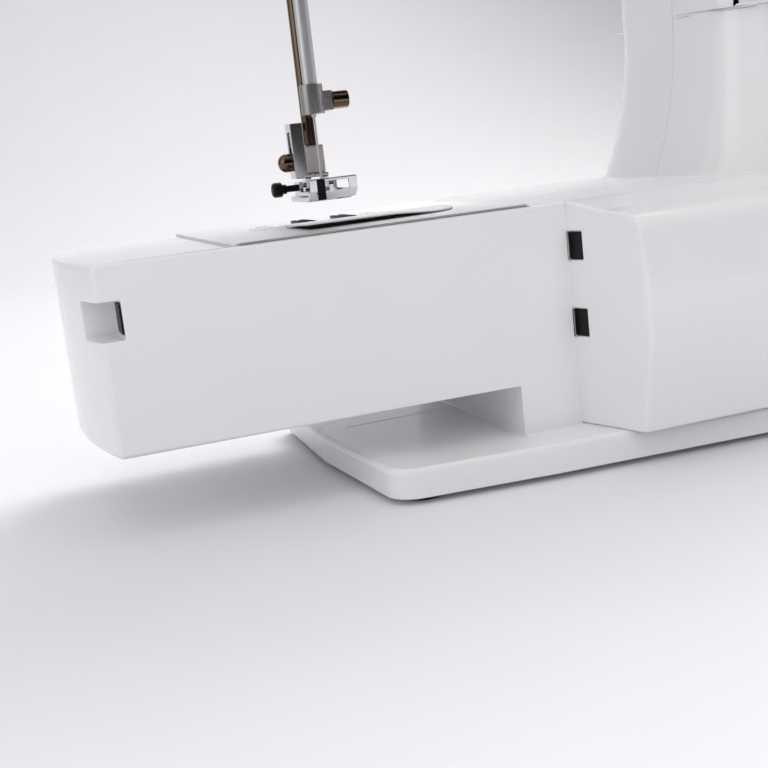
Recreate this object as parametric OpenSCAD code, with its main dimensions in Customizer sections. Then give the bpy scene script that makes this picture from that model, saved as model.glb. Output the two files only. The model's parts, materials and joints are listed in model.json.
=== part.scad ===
// Free-arm domestic sewing machine, millimetres, +Z up, the operator stands at -Y.
// Built about the needle: x = y = 0 is the needle axis and z = 0 the table top. place() then moves
// the whole machine so that its origin is the middle of its footprint.

/* [Overall size] */
// Needle axis to the left end of the free arm
arm_reach = 112; // [100:1:135]
// Needle axis to the left face of the column
throat_w = 178; // [148:1:214]
// Width of the column
column_w = 114; // [108:1:138]
// Bed to the underside of the head
throat_h = 109; // [90:1:131]
// Height of the head
head_h = 84; // [84:1:101]
// Height of the free arm
arm_h = 69.2; // [66:0.1:83]
// Clear height between the base and the free arm
cuff_gap = 19.8; // [16:0.1:24]
// Table to the top of the base
base_top = 14.2; // [13:0.1:18]

/* [Depths from the needle] */
// Needle to the front face of the free arm
arm_front = 63; // [60:1:75]
// Needle to the rear face of the free arm
arm_back = 58.8; // [56:0.1:70]
// Needle to the foremost face of the bed below the column
bulge_front = 100.8; // [92:0.1:120]
// Needle to the front face of the column and head
head_front = 38; // [38:1:45]
// Needle to the rear face of the column and head
head_back = 72; // [72:1:86]
// Needle to the rear face of the bed
bed_back = 78; // [76:1:93]
// Needle to the parting line between front and rear covers
seam_y = 9.2; // [9.2:0.1:11]

/* [Free arm and base] */
// Needle to the wall where the cuff gap ends
root_x = 52.5; // [44:0.5:63]
// Needle to the joint between arm and bed
seam_x = 78.3; // [70:0.1:94]
// How far the arm's end face bulges out
arm_bulge = 7.8; // [6:0.1:9.4]
// Needle to the left end of the base
base_left = 14; // [11:1:17]
// Thickness of the moulded covers
wall = 2.6; // [2.1:0.1:3.1]
// Height of the rubber feet
foot_h = 2.6; // [2.1:0.1:3.2]
// Radius of a rubber foot
foot_r = 9; // [7:0.5:11]

/* [Needle and presser foot] */
// Sewing stroke of the needle bar
stroke = 31; // [26:0.5:32]
// Travel of the presser bar
foot_lift = 7.5; // [6:0.1:9]
// Radius of the needle bar
needle_bar_r = 3; // [2.5:0.1:3.2]
// Radius of the presser bar
presser_bar_r = 3; // [2.5:0.1:3.2]
// Needle axis to the presser bar axis
presser_y = 9; // [9:0.1:10.5]
// Width of the presser foot
foot_w = 20; // [17:0.5:24]
// Length of the presser foot
foot_l = 31; // [30:0.5:37]

/* [Drive] */
// Radius of the upper and lower shafts
shaft_r = 4; // [3.4:0.1:4.6]
// Height of the upper shaft above the underside of the head
shaft_up = 42; // [42:0.5:44]
// Upper shaft to the needle axis, towards the rear
shaft_y = 20; // [19:0.5:22]
// Radius of the rotary hook
hook_r = 18.5; // [15.4:0.1:18.6]
// Radius of the bobbin
bobbin_r = 10.3; // [8.5:0.1:11.6]
// Radius of the handwheel
wheel_r = 32; // [26:1:38]
// Radius of the motor
motor_r = 24; // [20:1:25]

/* [Controls] */
// Radius of the push buttons
button_r = 6; // [5:0.5:7]
// Radius of the stitch selector
selector_r = 17; // [14:1:20]
// Radius of the stitch length and stitch width dials
dial_r = 9; // [7.5:0.5:10.5]
// Thickness of the carrying handle
handle_t = 7; // [6:0.5:8]

/* [Hidden] */
$fn = 64;

run = 0.05;         // radial clearance of a running fit
flare_r = 170;      // sweep of the column's foot
flare_h = 70;       // height at which the sweep begins
gap = 0.4;          // clearance between covers and what moves through them
eps = 1;            // how far a cutting tool runs past a face

arm_z = base_top + cuff_gap;                    // underside of the free arm
bed_z = arm_z + arm_h;                          // top of the bed
head_z = bed_z + throat_h;                      // underside of the head
top_z = head_z + head_h;                        // top of the head
column_x = throat_w;                            // left face of the column
right_x = column_x + column_w;                  // right face of the machine
face_x = -52;                                   // left face of the head
face_joint_x = -36;                             // joint between face cover and head covers

// Free arm
arm_mid_y = (arm_back - arm_front) / 2;
arm_half = (arm_back + arm_front) / 2;
arm_arc_r = (arm_half * arm_half + arm_bulge * arm_bulge) / (2 * arm_bulge);

// Needle plate, a step below and proud of the arm
plate_x0 = -55;
plate_x1 = min(63.4, seam_x - 14.9);
plate_y0 = -arm_front + 1.3;
plate_y1 = arm_back - 6.3;
plate_sink = 1.3;
plate_t = 2.2;
plate_top = bed_z - plate_sink + plate_t;
plate_screw_x = 24;
plate_screw_y = 18;

// Needle bar and presser bar
clamp_z = plate_top + 43.5;                     // bottom of the needle clamp, needle up
needle_tip_z = clamp_z - 29;
needle_top_z = clamp_z + 10;
needle_bar_top = head_z + 80;
sole_z = plate_top + 1.2 + foot_lift + 0.2;     // underside of the raised foot
sole_t = 2.2;
foot_pin_z = sole_z + 6.5;
block_z0 = sole_z + 11;                         // square end of the presser bar
block_z1 = sole_z + 22.6;
thumb_z = block_z0 + 5.3;
level_y = presser_y + 2.6;                      // levelling button, just behind the foot's pin
level_z = foot_pin_z - 0.8;
collar_z = head_z + 22;
guide_low_z = head_z + 3.5;
bar_gap_y = needle_bar_r + 1.2;                 // rear face of the needle frame and stud
guide_high_z = guide_low_z + 6.5 + 0.6 + stroke + 3.6;
presser_lug_z = head_z + 50;
spring_r = presser_y - needle_bar_r - 1.4;      // clears the needle bar's stud
swing_x = -9;                                   // zigzag pivot
swing_z = head_z + 64;

// Shafts
upper_z = head_z + shaft_up;
lower_z = arm_z + 28;
lower_y = 1;
crank_x0 = 22;
crank_x1 = 30;
crank_r = 17;
belt_x = column_x + 14;                         // middle of the timing belt
pulley_r = 14;
belt_t = 1.6;
wheel_pulley_r = 15;
motor_pulley_r = 8;
drive_x = right_x - 20;                         // middle of the drive belt
motor_z = bed_z + 47;
motor_y = 30;
wheel_x0 = right_x + 2;
wheel_x1 = right_x + 18;
knob_x1 = wheel_x1 + 3;

// Hook
hook_y = -(hook_r + 1.5);
hook_z0 = bed_z - 26;
hook_top = bed_z - 6.7;
cover_rear = hook_y + bobbin_r + 0.4;           // rear edge of the hook cover
gear_r = (lower_y - hook_y - 0.3) * 2 / 3;      // the hook turns twice for each stitch
pinion_r = gear_r / 2;
feed_y0 = cover_rear + 2;                       // the feed dogs start behind the hook cover
feed_y1 = 14.8;

// Spool well in the top of the head
well_x0 = 36;
well_x1 = min(182, column_x + 4);
well_y0 = -14;
well_y1 = 38;
well_floor = head_z + 54;
lid_t = 2.8;
lid_pivot_y = well_y1 - 1.9;
lid_pivot_z = top_z - lid_t / 2;
spool_x0 = well_x0 + 26;
spool_y = 8;
spool_z = well_floor + 12;
winder_x = well_x1 - 22;

// Take-up lever and presser lifter
take_y = -8;
take_z = head_z + 34;
take_x0 = 15;
take_x1 = 18;
lifter_x = 16;
lifter_z = head_z + 5.2;

// Controls on the front
button_z = head_z + 22;
start_x = 62;
reverse_x = start_x + 2 * button_r + 14;
slider_x = reverse_x + 46;
slider_travel = 15;
selector_x = column_x + 57;
selector_z = head_z - 28;
dial_z = button_z;
length_x = column_x + 34;
width_x = column_x + 80;
tension_x = 48;
tension_y = -head_front + 8;
tension_z = head_z + 60;
tension_r = 11;

// Carrying handle
handle_y = 52;
handle_x0 = 52;
handle_x1 = well_x1 + 30;
handle_z = top_z + 0.6 + handle_t / 2;

// Power switch on the right side
switch_y = 44;
switch_z = base_top + 48;

// Cast frame
post_x0 = column_x + 28;
post_x1 = right_x - 16;
post_y0 = 58;
post_y1 = head_back - wall - 0.4;
beam_y0 = 44;
beam_y1 = 60;

// The arm's end, the handwheel's knob, the bed's front and its rear are the outermost points
origin_x = (knob_x1 - arm_reach) / 2;
bulge_y = -bulge_front - 1.2;
origin_y = (bulge_y + bed_back) / 2;

module place() { translate([-origin_x, -origin_y, 0]) children(); }

// ---------- outline helpers ----------

function unit2(v) = v / norm(v);

// Points that round corner b, between a and c, to radius r
function corner(a, b, c, r, n = 6) =
    r <= 0 ? [b] :
    let (u = unit2(a - b), v = unit2(c - b),
         half = acos(max(-1, min(1, u * v))) / 2,
         o = b + unit2(u + v) * (r / sin(half)),
         s = b + u * (r / tan(half)), e = b + v * (r / tan(half)),
         a0 = atan2(s.y - o.y, s.x - o.x), a1 = atan2(e.y - o.y, e.x - o.x),
         turn = (a1 - a0 + 540) % 360 - 180)
    [for (i = [0:n]) o + r * [cos(a0 + turn * i / n), sin(a0 + turn * i / n)]];

function rounded(p, r, n = 6) =
    [for (i = [0:len(p) - 1])
        each corner(p[(i + len(p) - 1) % len(p)], p[i], p[(i + 1) % len(p)], r[i], n)];

// A box given by two opposite corners
module box(a, b) { translate(a) cube(b - a); }

// A plan outline raised from z0 to z1
module raise(z0, z1) { translate([0, 0, z0]) linear_extrude(z1 - z0) children(); }

// An (x, z) outline run from y0 to y1
module run_y(y0, y1) { translate([0, y1, 0]) rotate([90, 0, 0]) linear_extrude(y1 - y0) children(); }

// A (y, z) outline run from x0 to x1
module run_x(x0, x1) {
    translate([x0, 0, 0]) rotate([90, 0, 90]) linear_extrude(x1 - x0) children();
}

module rod_x(x0, x1, y, z, r) { translate([x0, y, z]) rotate([0, 90, 0]) cylinder(r = r, h = x1 - x0); }
module rod_y(y0, y1, x, z, r) { translate([x, y1, z]) rotate([90, 0, 0]) cylinder(r = r, h = y1 - y0); }
module rod_z(z0, z1, x, y, r) { translate([x, y, z0]) cylinder(r = r, h = z1 - z0); }

// Everything in front of, or behind, the parting line
module front_half() {
    intersection() { children(); box([-300, -300, -1], [600, seam_y, 600]); }
}
module rear_half() {
    intersection() { children(); box([-300, seam_y, -1], [600, 300, 600]); }
}

// ---------- outer shapes of the covers, t is the inset from the outside ----------

module base_outline(t) {
    polygon(rounded([[-base_left + 5 + t, -79.2 + t], [55, -85.3 + t], [145, -89.9 + t],
        [right_x - t, -94 + t], [right_x - t, bed_back - t], [-base_left + 3 + t, bed_back - t],
        [-base_left + t, -2]], [12 - t, 0, 0, 18 - t, 12 - t, 12 - t, 0]));
}

module arm_form(t) {
    past = t > 0 ? eps : 0;     // a hollow runs through the open ends
    intersection() {
        run_y(-arm_front + t, arm_back - t)
            polygon([[-arm_reach - 5, arm_z + t], [root_x + t, arm_z + t], [root_x + t, base_top - past],
                [seam_x + past, base_top - past], [seam_x + past, bed_z - t], [-arm_reach - 5, bed_z - t]]);
        translate([arm_arc_r - arm_reach, arm_mid_y, 0]) cylinder(r = arm_arc_r - t, h = top_z, $fn = 240);
    }
}

module bed_outline(t) {
    polygon(rounded([[seam_x + t, bed_back - t], [seam_x + t, -arm_front],
        [seam_x + 11.2 + t, -bulge_front + t], [right_x - t, bulge_y + t],
        [right_x - t, bed_back - t]], [8 - t, 0, 3, 18 - t, 14 - t]));
}

module bed_form(t) {
    low = base_top - (t > 0 ? eps : 0);
    intersection() {
        raise(low, bed_z + 1) bed_outline(t);
        run_x(seam_x - 1, right_x + 1)
            polygon(rounded([[bed_back - t, low], [-bulge_front + 5.9 + t, low], [bulge_y + t, base_top + 46],
                [-bulge_front + 2.6 + t, bed_z - 6 - t], [-80, bed_z - 3.8 - t], [-arm_front, bed_z - t],
                [bed_back - t, bed_z - t]], [0, 0, 0, 7 - t, 30, 30, 5 - t]));
    }
}

module column_form(t) {
    raise(bed_z - 5, top_z - 20)
        polygon(rounded([[column_x + t, -head_front + t], [right_x - t, -head_front + t],
            [right_x - t, head_back - t], [column_x + t, head_back - t]], [18 - t, 14 - t, 14 - t, 28 - t]));
}

// Section of the concave sweep from the column's wall out to the bed
module flare_section(t) {
    function reach(z) = flare_r - sqrt(pow(flare_r + t, 2) - pow(flare_h - z, 2));
    steps = 14;
    polygon(concat([[-t - 1, -t - 1], [-t - 1, flare_h]],
        [for (i = [0:steps]) let (z = flare_h - i * (flare_h + t) / steps) [reach(z), z]],
        [[reach(-t), -t - 1]]));
}

// The fillet turned about one corner of the column, a quarter of it kept
module flare_corner(x, y, r, side, t) {
    intersection() {
        translate([x, y, bed_z]) rotate_extrude() translate([r, 0]) flare_section(t);
        translate([x, y, bed_z - 6]) mirror([side.x < 0 ? 1 : 0, 0, 0]) mirror([0, side.y < 0 ? 1 : 0, 0])
            cube([80, 80, flare_h + 6]);
    }
}

// The column's foot flares into the bed along its left and front faces
module column_flare(t) {
    front_r = 18;
    right_r = 14;
    rear_r = 28;
    intersection() {
        union() {
            translate([column_x, head_back - rear_r, bed_z]) rotate([90, 0, 0])
                linear_extrude(head_back - rear_r + head_front - front_r) mirror([1, 0, 0]) flare_section(t);
            translate([column_x + front_r, -head_front, bed_z]) rotate([90, 0, 90])
                linear_extrude(column_w - front_r - right_r) mirror([1, 0, 0]) flare_section(t);
            flare_corner(column_x + front_r, -head_front + front_r, front_r, [-1, -1], t);
            flare_corner(right_x - right_r, -head_front + right_r, right_r, [1, -1], t);
            flare_corner(column_x + rear_r, head_back - rear_r, rear_r, [-1, 1], t);
        }
        box([0, -300, bed_z - 4], [right_x - t, head_back - t, top_z]);
    }
}

module head_form(t) {
    intersection() {
        run_x(face_x + t, right_x - t)
            polygon(rounded([[-head_front + t, head_z + t], [head_back - t, head_z + t],
                [head_back - t, top_z - t], [-head_front + t, top_z - t]], [14 - t, 14 - t, 16 - t, 16 - t]));
        raise(head_z, top_z)
            polygon(rounded([[face_x + t, -head_front + t], [right_x - t, -head_front + t],
                [right_x - t, head_back - t], [face_x + t, head_back - t]],
                [10 - t, 14 - t, 14 - t, 10 - t]));
    }
}

module cover_shell() {
    difference() {
        union() {
            bed_form(0);
            column_form(0);
            head_form(0);
            column_flare(0);
        }
        bed_form(wall);
        column_form(wall);
        column_flare(wall);
        head_form(wall);
        box([seam_x - eps, -arm_front + wall, base_top - eps],
            [seam_x + wall + eps, arm_back - wall, bed_z - wall]);
        box([face_x - eps, -head_front - eps, head_z - eps],
            [face_joint_x, head_back + eps, top_z + eps]);
        box([well_x0, well_y0, top_z - 2 * wall - 16], [well_x1, well_y1, top_z + eps]);
        box([face_joint_x + 19.5, -12, head_z - eps], [44, 36, head_z + wall + eps]);
    }
}

// ---------- base and free arm ----------

module base_shell() {
    difference() {
        raise(foot_h, base_top) base_outline(0);
        raise(foot_h + wall, base_top - wall) base_outline(wall);
        intersection() {
            raise(base_top - wall - eps, base_top + eps) base_outline(wall + 1);
            union() {
                raise(0, 50) bed_outline(wall);
                box([root_x + wall, -arm_front + wall, 0], [seam_x + wall + eps, arm_back - wall, 50]);
            }
        }
        // shallow tray on top of the base
        raise(base_top - 1, base_top + eps)
            polygon([[root_x, -66], [8, -66], [-1, -40], [-1, arm_back], [root_x, arm_back]]);
    }
}

module base_front_cover() {
    color("whitesmoke") place() front_half() base_shell();
}

module base_rear_cover() {
    color("white") place() rear_half() base_shell();
}

module rubber_feet() {
    color("dimgray") place()
        for (x = [6, right_x - 22], y = [-66, bed_back - 20])
            rod_z(0, foot_h, x, y, foot_r);
}

module notch_box(grow) {
    box([-arm_reach - 5, -arm_front - eps, arm_z + 42.1 - grow],
        [-arm_reach + 16.2 + grow, -arm_front + 18 + grow, arm_z + 56.1 + grow]);
}

// Opening of the slots that hold a slide-on table
module slot_space(z0) {
    box([seam_x - 0.8, -arm_front - 6.4, z0], [seam_x + 8, -arm_front + 2, z0 + 11]);
}
slot_z = [arm_z + 15.9, arm_z + 46.3];

module arm_shell() {
    difference() {
        union() {
            difference() {
                arm_form(0);
                arm_form(wall);
            }
            intersection() {
                arm_form(0);
                notch_box(2);
            }
        }
        notch_box(0);
        // slot in the notch's right side for a table's catch
        box([-arm_reach + 15.2, -arm_front + 2.4, arm_z + 43.6],
            [-arm_reach + 19.6, -arm_front + 14, arm_z + 54.6]);
        raise(bed_z - plate_sink, bed_z + eps) plate_outline(gap);
        box([plate_x0 + 5, plate_y0 + 6, bed_z - wall - eps],
            [plate_x1 - 5, plate_y1 - 5, bed_z + eps]);
        for (z = slot_z) slot_space(z);
    }
}

module arm_front_cover() {
    color("gainsboro") place() front_half() arm_shell();
}

module arm_rear_cover() {
    color("white") place() rear_half() arm_shell();
}

// ---------- column and head ----------

module front_cover() {
    color("whitesmoke") place() difference() {
        union() {
            front_half() cover_shell();
            for (x = [tension_x - 7, tension_x + 5])
                box([x, -head_front + wall - 0.5, tension_z - 4],
                    [x + 2, -head_front + 12, tension_z + 4]);
        }
        for (z = slot_z) slot_space(z);
        box([take_x0 - 1.5, -head_front - eps, head_z + 14],
            [take_x1 + 1.5, -head_front + wall + eps, head_z + 74]);
        box([tension_x - 4, -head_front - eps, tension_z - tension_r],
            [tension_x + 4, -head_front + wall + eps, tension_z + tension_r]);
        rod_x(tension_x - 9, tension_x + 9, tension_y, tension_z, 1.5 + run);
        for (x = [start_x, reverse_x])
            rod_y(-head_front - eps, -head_front + wall + eps, x, button_z, button_r + 0.15);
        box([slider_x - slider_travel - 3, -head_front - eps, button_z - 1.8],
            [slider_x + slider_travel + 3, -head_front + wall + eps, button_z + 1.8]);
        rod_y(-head_front - eps, -head_front + wall + eps, selector_x, selector_z, 3 + run);
        for (x = [length_x, width_x])
            rod_y(-head_front - eps, -head_front + wall + eps, x, dial_z, 3 + run);
        display_space(0.1, 1.5);
    }
}

module rear_cover() {
    color("white") place() difference() {
        union() {
            rear_half() cover_shell();
            for (x = [handle_x0, handle_x1 - 8]) {
                box([x, handle_y - 6, top_z - wall], [x + 8, handle_y + 6, handle_z]);
                rod_x(x, x + 8, handle_y, handle_z, 6);
            }
        }
        for (x = [handle_x0, handle_x1 - 8])
            rod_x(x - eps, x + 8 + eps, handle_y, handle_z, 2.5);
        rod_x(right_x - wall - eps, right_x + eps, shaft_y, upper_z, 10);
        rod_x(well_x0 - 2.4, well_x1 + 2.4, lid_pivot_y, lid_pivot_z, 1 + run);
        box([right_x - wall - eps, switch_y - 10.5, switch_z - 12.5],
            [right_x + eps, switch_y + 10.5, switch_z + 12.5]);
        box([right_x - wall - eps, switch_y - 13, switch_z - 36],
            [right_x + eps, switch_y + 13, switch_z - 18]);
        cover_screw_shapes(0.1);
    }
}

module face_cover() {
    color("white") place() difference() {
        intersection() {
            head_form(0);
            box([face_x - eps, -100, head_z - eps], [face_joint_x, 100, top_z + eps]);
        }
        head_form(wall);
    }
}

module spool_tray() {
    color("gainsboro") place() difference() {
        box([well_x0 + 0.1, well_y0 + 0.1, well_floor - 2.4],
            [well_x1 - 0.1, well_y1 - 0.1, top_z - lid_t - gap]);
        box([well_x0 + 2.4, well_y0 + 2.4, well_floor], [well_x1 - 2.4, well_y1 - 2.4, top_z + eps]);
        rod_z(well_floor - 3, well_floor + eps, winder_x, spool_y, 3 + run);
        box([well_x0, lid_pivot_y - 2, top_z - lid_t - gap - 2], [well_x1, well_y1, top_z]);
    }
}

module top_lid() {
    color("white") place() union() {
        box([well_x0 + gap, well_y0 + gap, top_z - lid_t], [well_x1 - gap, lid_pivot_y, top_z]);
        rod_x(well_x0 + gap, well_x1 - gap, lid_pivot_y, lid_pivot_z, lid_t / 2);
        rod_x(well_x0 - 2, well_x1 + 2, lid_pivot_y, lid_pivot_z, 1);
    }
}

module carry_handle() {
    low = handle_z - handle_t / 2;
    high = handle_z + handle_t / 2;
    color("white") place() union() {
        for (x = [handle_x0 + 8.5, handle_x1 - 17.5]) {
            box([x, handle_y, low], [x + 9, head_back - 4, high]);
            rod_x(x, x + 9, handle_y, handle_z, handle_t / 2);
        }
        box([handle_x0 + 8.5, head_back - 12, low], [handle_x1 - 8.5, head_back + 2, high]);
        rod_x(handle_x0 + 1, handle_x0 + 9, handle_y, handle_z, 2.5 - run);
        rod_x(handle_x1 - 9, handle_x1 - 1, handle_y, handle_z, 2.5 - run);
    }
}

module display_space(c, d) {
    box([column_x + 22 - c, -head_front - 0.2 * c, head_z + 34 - c],
        [column_x + 88 + c, -head_front + d, head_z + 62 + c]);
}

module display_window() {
    color("darkslategray") place() display_space(0, 1.4);
}

module latch_sockets() {
    color("black") place() for (z = slot_z)
        intersection() {
            box([seam_x - 0.6, -arm_front - 6.2, z + 0.2],
                [seam_x + 7, -arm_front + 1.8, z + 10.8]);
            raise(z, z + 12) polygon([[seam_x + 0.9, -arm_front + 3], [seam_x + 0.9, -arm_front - 0.5],
                [seam_x + 4.4, -arm_front - 12], [seam_x + 7, -arm_front - 12],
                [seam_x + 7, -arm_front + 3]]);
        }
}

module inlet_panel() {
    color("black") place() difference() {
        union() {
            box([right_x - 16, switch_y - 12.6, switch_z - 20],
                [right_x - wall - 0.1, switch_y + 12.6, switch_z + 14.5]);
            box([right_x - 22, switch_y - 12.6, switch_z - 35.6],
                [right_x - 0.6, switch_y + 12.6, switch_z - 18.4]);
        }
        box([right_x - 10, switch_y - 10.2, switch_z - 12.2],
            [right_x, switch_y + 10.2, switch_z + 12.2]);
        rod_y(switch_y - 11.6, switch_y + 11.6, right_x - 6, switch_z, 1.5 + run);
        box([right_x - 14, switch_y - 10, switch_z - 32], [right_x, switch_y + 2, switch_z - 22]);
        rod_x(right_x - 14, right_x, switch_y + 8, switch_z - 27, 3);
    }
}

module power_rocker() {
    color("black") place() union() {
        box([right_x - 7.5, switch_y - 9.6, switch_z - 11],
            [right_x + 1, switch_y + 9.6, switch_z + 11]);
        rod_y(switch_y - 11.4, switch_y + 11.4, right_x - 6, switch_z, 1.5);
    }
}

// Three cover screws at the rear, driven into the frame's post
module cover_screw_shapes(c) {
    x = (post_x0 + post_x1) / 2;
    for (p = [[bed_back, base_top + 26], [head_back, bed_z + 60], [head_back, head_z + 20]]) {
        rod_y(p.x - 1.6 - c, p.x + (c > 0 ? eps : 0), x, p.y, 3.4 + c);
        rod_y(post_y1 - 8, p.x - 1.6, x, p.y, 1.5);
    }
}

module cover_screws() {
    color("silver") place() cover_screw_shapes(0);
}

module control_board() {
    color("darkgreen") place() union() {
        box([column_x + 24, -head_front + 12, bed_z + 14],
            [right_x - 18, -head_front + 13.6, head_z - 14]);
        for (i = [0:2])
            box([column_x + 34 + i * 18, -head_front + 13.6, bed_z + 24 + i * 14],
                [column_x + 46 + i * 18, -head_front + 17, bed_z + 34 + i * 14]);
    }
}

// ---------- needle plate and hook ----------

module plate_outline(c) {
    front = plate_y0 - (c > 0 ? 0.3 : 0);
    polygon(rounded([[plate_x0 - c, front], [plate_x1 + c, front],
        [plate_x1 + c, plate_y1 + c], [plate_x0 - c, plate_y1 + c]], [7, 2, 2, 2]));
}

module cover_outline(c) {
    polygon(rounded([[-hook_r - 2.5 + c, hook_y - hook_r - 5.5 + c], [44 - c, hook_y - hook_r - 1.5 + c],
        [49 - c, cover_rear - c], [-hook_r - 2.5 + c, cover_rear - c]], [2, 20, 2, 2]));
}

module needle_plate() {
    color("lightgray") place() difference() {
        raise(bed_z - plate_sink, plate_top) plate_outline(0);
        // opening over the hook, under the left part of its cover
        raise(bed_z - plate_sink - eps, plate_top + eps) intersection() {
            cover_outline(2.5);
            translate([-hook_r - 5, -200]) square([2 * hook_r + 8, 400]);
        }
        for (side = [-1, 1], x = [7, 10.5])
            box([side * x - 1.3, feed_y0 - 0.5, bed_z - 9],
                [side * x + 1.3, feed_y1 + 0.5, plate_top + eps]);
        box([-4.2, -1.7, bed_z - 9], [4.2, 1.7, plate_top + eps]);
        for (side = [-1, 1]) {
            rod_z(bed_z - 9, plate_top + eps, side * plate_screw_x, plate_screw_y, 1.5);
            rod_z(plate_top - 1.2, plate_top + eps, side * plate_screw_x, plate_screw_y, 3.3);
        }
    }
}

module plate_screws() {
    color("silver") place() for (side = [-1, 1]) difference() {
        union() {
            rod_z(plate_top - 1.2, plate_top, side * plate_screw_x, plate_screw_y, 3.2);
            rod_z(bed_z - 9, plate_top - 1.2, side * plate_screw_x, plate_screw_y, 1.5);
        }
        box([side * plate_screw_x - 3.4, plate_screw_y - 0.4, plate_top - 0.7],
            [side * plate_screw_x + 3.4, plate_screw_y + 0.4, plate_top + eps]);
    }
}

// The cover stands slightly ajar, lowest at its right rear corner so that the foot clears it
module hook_cover() {
    color("white") place() translate([49, cover_rear, plate_top + run]) rotate([-2.2, 0.3, 0])
        translate([-49, -cover_rear, 0]) linear_extrude(0.8) cover_outline(0);
}

module bobbin_case() {
    r = hook_r - 2.4;
    color("dimgray") place() union() {
        difference() {
            rod_z(hook_z0 + 3.4, hook_top - 0.4, 0, hook_y, r);
            rod_z(hook_z0 + 5, hook_top, 0, hook_y, bobbin_r + 1);
        }
        rod_z(hook_z0 + 4, hook_z0 + 15, 0, hook_y, 3 - run);
    }
}

module bobbin() {
    z0 = hook_z0 + 5.4;
    color("lightcyan") place() difference() {
        union() {
            rod_z(z0, z0 + 1.2, 0, hook_y, bobbin_r);
            rod_z(z0 + 10.2, z0 + 11.4, 0, hook_y, bobbin_r);
            rod_z(z0, z0 + 11.4, 0, hook_y, 4.6);
        }
        rod_z(z0 - eps, z0 + 13, 0, hook_y, 3);
    }
}

module rotary_hook() {
    color("silver") place() union() {
        difference() {
            rod_z(hook_z0, hook_top, 0, hook_y, hook_r);
            rod_z(hook_z0 + 3, hook_top + eps, 0, hook_y, hook_r - 2);
        }
        rod_z(arm_z + 6, hook_z0, 0, hook_y, 4);
        rod_z(lower_z - 6, lower_z + 6, 0, hook_y, pinion_r);
    }
}

module feed_dogs() {
    base_z = bed_z - 4.6;
    pitch = (feed_y1 - feed_y0) / 16;
    color("slategray") place() union() {
        difference() {
            box([-11.6, feed_y0, base_z], [11.6, feed_y1, base_z + 2]);
            box([-5, feed_y0 + 3.3, base_z - eps], [5, 6, base_z + 3]);
        }
        box([-6, 12, base_z - 3], [6, 26, base_z]);
        for (side = [-1, 1], x = [7, 10.5]) {
            box([side * x - 1, feed_y0, base_z], [side * x + 1, feed_y1, plate_top + 0.4]);
            run_x(side * x - 1, side * x + 1)
                polygon([for (i = [0:15], p = [[0, 0], [0.8, 0.8], [0.98, 0]])
                    [feed_y0 + (i + p.x) * pitch, plate_top + 0.4 + p.y],
                    [feed_y1, plate_top + 0.4], [feed_y1, plate_top - 1], [feed_y0, plate_top - 1]]);
        }
    }
}

// ---------- cast frame and shafts ----------

bush_r = shaft_r + 2;
upper_bush_x = [44, post_x0 + 8];
lower_bush_x = [24, seam_x + 60];
bush_l = 10;

module cast_frame() {
    color("darkgray") place() difference() {
        union() {
            // upper beam, column post and lower beam
            box([-14, beam_y0, head_z + 20], [post_x1, beam_y1, head_z + 50]);
            box([post_x0, post_y0, base_top + 2], [post_x1, post_y1, head_z + 50]);
            box([-60, 34, arm_z + 12], [post_x0, 50, arm_z + 42]);
            box([post_x0 - 10, 34, arm_z + 12], [post_x1, post_y0 + 4, arm_z + 42]);
            for (x = upper_bush_x)
                box([x, shaft_y - 7.5, upper_z - 7.5], [x + bush_l, beam_y0 + 2, upper_z + 7.5]);
            for (x = lower_bush_x)
                box([x, lower_y - 7.5, lower_z - 7.5], [x + bush_l, 36, lower_z + 7.5]);
            // head plate with the presser bar lugs
            box([-14, 36, head_z + 3.5], [14, beam_y0 + 2, head_z + 68]);
            for (z = [guide_low_z, presser_lug_z])
                box([-7, presser_y - 4.4, z], [7, 37, z + 6.5]);
            // zigzag pivot, lifter pivot and take-up pivot
            rod_y(-6, 37, swing_x, swing_z, 2.5);
            rod_y(17, 37, lifter_x, lifter_z, 2.5);
            box([lifter_x - 6, 36, lifter_z - 1.4], [lifter_x + 6, beam_y0 + 2, head_z + 24]);
            box([crank_x1 + 1, take_y - 4, take_z - 4], [crank_x1 + 6, beam_y0 + 2, take_z + 3]);
            rod_x(take_x0 - 1, crank_x1 + 2, take_y, take_z, 2);
            // hook bearing under the drive gear
            box([-10, hook_y - 9, arm_z + 4.5], [10, 50, arm_z + 12]);
            // seats under the needle plate
            for (side = [-1, 1]) {
                box([side * plate_screw_x - 4, plate_screw_y - 5, bed_z - 10],
                    [side * plate_screw_x + 4, 46, bed_z - plate_sink]);
                box([side * plate_screw_x - 4, 38, arm_z + 40], [side * plate_screw_x + 4, 46, bed_z - 9]);
            }
            // motor saddle
            box([column_x + 34, motor_y + 10, motor_z - 10], [column_x + 70, post_y0 + 2, motor_z + 10]);
        }
        for (x = upper_bush_x) rod_x(x - eps, x + bush_l + eps, shaft_y, upper_z, bush_r);
        for (x = lower_bush_x) rod_x(x - eps, x + bush_l + eps, lower_y, lower_z, bush_r);
        for (z = [guide_low_z, presser_lug_z])
            rod_z(z - eps, z + 6.5 + eps, 0, presser_y, presser_bar_r + run);
        rod_z(arm_z + 3, arm_z + 13, 0, hook_y, 4 + run);
        for (side = [-1, 1])
            rod_z(bed_z - 9, bed_z, side * plate_screw_x, plate_screw_y, 1.5);
        rod_x(column_x + 20, drive_x - 6, motor_y, motor_z, motor_r);
        cover_screw_shapes(0);
    }
}

module shaft_bushes() {
    color("peru") place() union() {
        for (x = upper_bush_x) bush(x, shaft_y, upper_z);
        for (x = lower_bush_x) bush(x, lower_y, lower_z);
    }
}

module bush(x, y, z) {
    difference() {
        rod_x(x, x + bush_l, y, z, bush_r);
        rod_x(x - eps, x + bush_l + eps, y, z, shaft_r + run);
    }
}

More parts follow.
